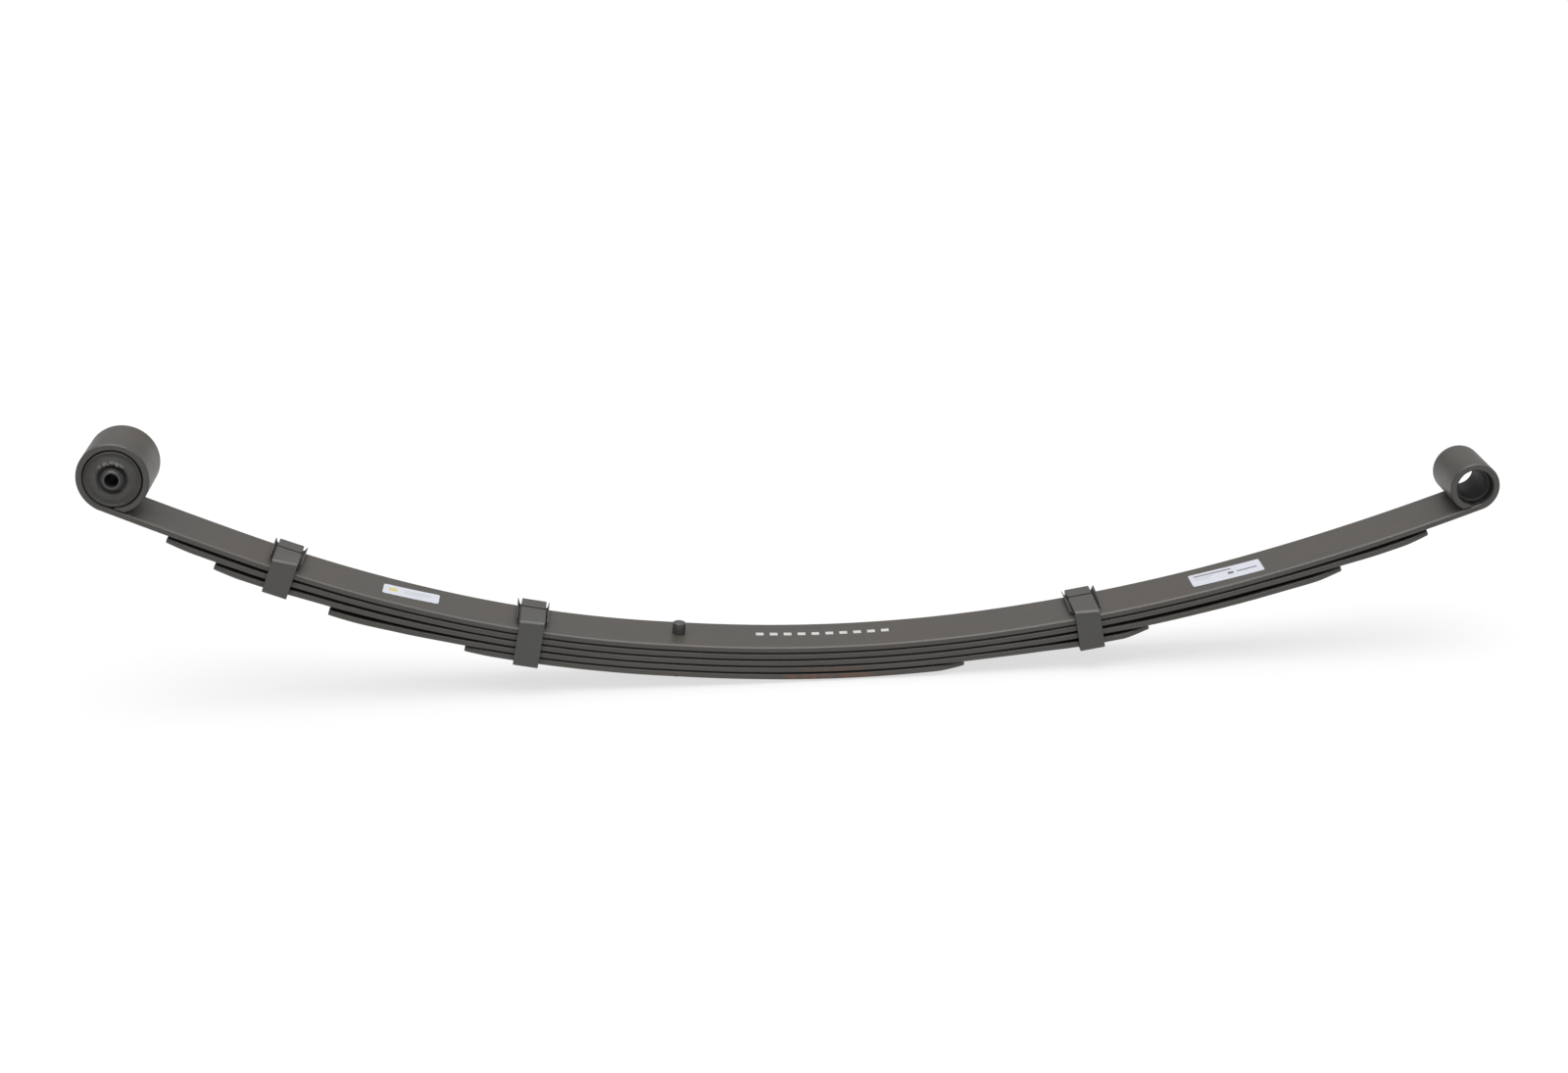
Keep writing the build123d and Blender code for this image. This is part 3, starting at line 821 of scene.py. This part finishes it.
def clip(name, side, distance, lowest, lift, arm_rise, near_rise, lean, body):
    """Strip folded round the leaves, its two arms meeting in a bowed seam over the liner.
    near_rise lifts the near arm at its bend, at the strip's (inner, outer) edge along the leaf."""
    reach = (distance - BAND / 2, distance, distance + BAND / 2)
    depth = max(leaf_depth(side, lowest, s) for s in reach) + THICK
    frame_at = local_matrix(side, distance)
    across = flip(frame_at)
    inner_y = WIDTH / 2 + LINER_THICK + 0.4
    floor = -depth - 0.15
    roof = lift + LINER_THICK + arm_rise
    mid = CLIP_THICK / 2
    seam = (SEAM_AT - 0.5) * WIDTH
    y_out, z_low, z_high = inner_y + mid, floor - mid, roof + mid
    z_near = z_high + sum(near_rise) / 2
    points = [(seam, z_high + 0.1), (seam - 9.0, z_high + 0.1 * (z_near - z_high)), (-y_out, z_near),
              (-y_out, z_low), (y_out, z_low), (y_out, z_high + 0.1), (seam + 2.6, z_high + 0.1)]
    path = densify(strip_path(points, BEND_R - mid))
    last = len(path) - 1
    rings = []
    for i, (p, n) in enumerate(path):
        shrink = 0.5 if i in (0, last) else 0.0
        near = max(0.0, (seam - p.x) / (seam + y_out)) * max(0.0, min(1.0, (p.y - z_low) / 12.0))
        ring = []
        for x, t in rounded(BAND / 2 - shrink, -mid + shrink, mid - shrink, 0.6, steps=3, pad=0.4):
            arch = 1 - (2 * x / BAND) ** 2
            twist = (near_rise[1] - near_rise[0]) * x / BAND * near
            bow = 0.0
            if i < 6:
                bow = -1.4 * arch * (1 - i / 6)
            if last - i < 4:
                bow = -1.3 * arch * (1 - (last - i) / 4)
            ring.append((x, p.x + n.x * t + bow, p.y + n.y * t + twist))
        rings.append(ring)
    rings = [subdivide_ring(r) for r in rings]
    verts, faces = loft(rings)
    world = [tuple(frame_at @ Vector((x, y * across, z))) for x, y, z in verts]
    obj = add_mesh(name + "_strip", world, faces, CLIP, sharp=35.0)
    place_piece(obj, body, side, distance, name)

    verts, faces = liner_sheet(lift, z_high + mid, z_near + mid, lean)
    world = [tuple(frame_at @ Vector((x, y * across, z))) for x, y, z in verts]
    liner = add_mesh(name + "_liner_sheet", world, faces, LINER, sharp=40.0)
    place_piece(liner, body, side, distance, name + "_liner")

    base = floor - CLIP_THICK - 0.05
    profile = [(0, base - 3.0), (1.8, base - 2.95), (3.4, base - 2.5), (4.9, base - 1.6), (5.9, base - 0.7),
               (6.2, base - 0.1), (6.1, base), (4.0, base), (4.0, floor - 0.05), (3.4, floor), (0, floor)]
    verts, faces = solid_of_turn(profile, 40)
    rivet = add_mesh(name + "_rivet_domed", moved(verts, frame_at), faces, HARDWARE, sharp=40.0)
    place_piece(rivet, body, side, distance, name + "_rivet")


def subdivide_ring(ring):
    """Points between the far-apart points of a section, so that a bow in it stays round."""
    out = []
    for a, b in zip(ring, ring[1:] + ring[:1]):
        out.append(a)
        parts = int(math.dist(a, b) / 3.0)
        for k in range(1, parts):
            t = k / parts
            out.append(tuple(p + (q - p) * t for p, q in zip(a, b)))
    return out


def liner_sheet(lift, far_top, near_top, lean):
    """Thin saddle under the folded arms, its two long edges turned up and leaning out as ears.
    lean is how far the (inner, outer) ear leans out at its top."""
    t, root = LINER_THICK, EAR_ROOT
    rings = []
    for y in spread(LINER_NEAR, LINER_FAR, 1.6):
        k = (y - LINER_NEAR) / (LINER_FAR - LINER_NEAR)
        rise = near_top - 1.2 + (far_top + 0.1 - near_top + 1.2) * k + 0.15 * math.sin(k * 15.0)
        if k < 0.14:
            rise -= 2.4 * (1 - k / 0.14) ** 2
        wave = 0.1 * math.sin(k * 11.0)
        inner, outer = (root + d * (0.35 + 0.65 * k) + wave for d in lean)
        ring = [
            (-inner, rise), (-inner + t, rise - 0.2), (-root + t, lift + t + 1.2),
            (-root + t + 0.8, lift + t), (root - t - 0.8, lift + t), (root - t, lift + t + 1.2),
            (outer - t, rise - 0.2), (outer, rise), (root, lift + 1.6), (root - 0.9, lift),
            (-root + 0.9, lift), (-root, lift + 1.6)]
        rings.append([(x, y, z) for x, z in ring])
    return loft(rings)


for spec in CLIPS:
    clip(*spec)


# ---------------------------------------------------------------- labels
def sheet_on_leaf(name, side, near, far, low, high, skew, material, body, node):
    """Thin rounded paper sheet following the main leaf's top face, laid on slightly skewed."""
    lift, thick, corner = 0.05, 0.15, 2.5
    outline = []
    for cs, cy, start in ((far - corner, high - corner, 0), (near + corner, high - corner, 90),
                          (near + corner, low + corner, 180), (far - corner, low + corner, 270)):
        for i in range(7):
            a = math.radians(start + 15 * i)
            outline.append((cs + corner * math.cos(a), cy + corner * math.sin(a)))
    bm = bmesh.new()
    bm.faces.new([bm.verts.new((s, y, 0)) for s, y in outline])
    for cut in spread(near, far, 5.0)[1:-1]:
        geom = bm.verts[:] + bm.edges[:] + bm.faces[:]
        bmesh.ops.bisect_plane(bm, geom=geom, plane_co=(cut, 0, 0), plane_no=(1, 0, 0))
    raised = bmesh.ops.extrude_face_region(bm, geom=bm.faces[:])
    for v in raised["geom"]:
        if isinstance(v, bmesh.types.BMVert):
            v.co.z = thick
    place = []
    middle = (near + far) / 2
    for v in bm.verts:
        s, y = v.co.x, v.co.y
        place.append((s, y))
        x, z = depth_point(side, s, -(lift + v.co.z))
        v.co = Vector((x * MM, (y + skew * (s - middle)) * MM, z * MM))
    bmesh.ops.recalc_face_normals(bm, faces=bm.faces)
    mesh = bpy.data.meshes.new(name)
    bm.to_mesh(mesh)
    bm.free()
    keep_place(mesh, place)
    mesh.materials.append(material)
    obj = bpy.data.objects.new(name, mesh)
    bpy.context.scene.collection.objects.link(obj)
    belongs(obj, body, node)


sheet_on_leaf("small_label_sheet", -1, 233.5, 288.0, -11.0, 13.0, -0.08, SMALL_PAPER,
              "main_front", "small_label")
sheet_on_leaf("large_label_sheet", 1, 503.5, 574.0, -17.0, 13.5, -0.045, LARGE_PAPER,
              "main_rear", "large_label")

# the CAD nodes are all replaced by the pieces above
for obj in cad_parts.values():
    obj.data.materials.clear()
    obj.data.materials.append(HARDWARE)


# ---------------------------------------------------------------- floor, light, camera
FLOOR_REACH = 40.0
FLOOR_LEVEL = -0.0450
FLOOR_SLOPE = 0.1050
FLOOR_GLOW = 0.67       # the rest of the floor's white comes from the lights, so shadows stay pale
SKY_STRENGTH = 1.6
KEY_ENERGY = 2.3
KEY_SPREAD = 55.0
KEY_DIRECTION = (0.14, 0.24, -1.0)


def floor_and_light():
    mesh = bpy.data.meshes.new("studio_floor")
    r = FLOOR_REACH
    corners = [(-r, -r), (r, -r), (r, r), (-r, r)]
    mesh.from_pydata([(x, y, FLOOR_LEVEL + FLOOR_SLOPE * x) for x, y in corners], [], [(0, 1, 2, 3)])
    floor = bpy.data.objects.new("studio_floor", mesh)
    bpy.context.scene.collection.objects.link(floor)
    material = bpy.data.materials.new("studio_floor")
    tree, bsdf = nodes_of(material)
    bsdf.inputs["Base Color"].default_value = grey(0.21)
    bsdf.inputs["Emission Color"].default_value = grey(1.0)
    bsdf.inputs["Emission Strength"].default_value = FLOOR_GLOW
    bsdf.inputs["Roughness"].default_value = 0.9
    bsdf.inputs["Specular IOR Level"].default_value = 0.1
    mesh.materials.append(material)

    world = bpy.data.worlds.new("studio")
    bpy.context.scene.world = world
    world.use_nodes = True
    tree = world.node_tree
    height = tree.nodes.new("ShaderNodeSeparateXYZ")
    tree.links.new(tree.nodes.new("ShaderNodeTexCoord").outputs["Generated"], height.inputs["Vector"])
    sky = ramp(tree, height.outputs["Z"], ((0.0, grey(0.24)), (0.35, grey(0.31)), (0.70, grey(0.45)),
                                           (0.88, grey(1.0)), (1.0, grey(1.0))))
    tree.links.new(sky, tree.nodes["Background"].inputs["Color"])
    tree.nodes["Background"].inputs["Strength"].default_value = SKY_STRENGTH

    data = bpy.data.lights.new("key", "SUN")
    data.energy, data.angle = KEY_ENERGY, math.radians(KEY_SPREAD)
    key = bpy.data.objects.new("key", data)
    key.rotation_mode = "QUATERNION"
    key.rotation_quaternion = Vector(KEY_DIRECTION).to_track_quat("-Z", "Y")
    bpy.context.scene.collection.objects.link(key)


def camera():
    yaw, pitch, roll = (math.radians(a) for a in (4.54, 18.89, 4.59))
    focal = 2705.3
    forward = Vector((math.sin(yaw) * math.cos(pitch), math.cos(yaw) * math.cos(pitch), -math.sin(pitch)))
    right = Vector((math.cos(yaw), -math.sin(yaw), 0))
    up = right.cross(forward)
    r2 = right * math.cos(roll) + up * math.sin(roll)
    u2 = up * math.cos(roll) - right * math.sin(roll)
    m = Matrix((r2, u2, -forward)).transposed().to_4x4()
    m.translation = Vector((-96.1, -2403.0, 929.6)) * MM
    data = bpy.data.cameras.new("camera")
    data.sensor_width = 36.0
    data.lens = focal / 1600 * 36.0
    cam = bpy.data.objects.new("camera", data)
    cam.matrix_world = m
    bpy.context.scene.collection.objects.link(cam)
    bpy.context.scene.camera = cam


floor_and_light()
camera()
bpy.context.scene.view_settings.view_transform = "Standard"

bpy.context.view_layer.update()
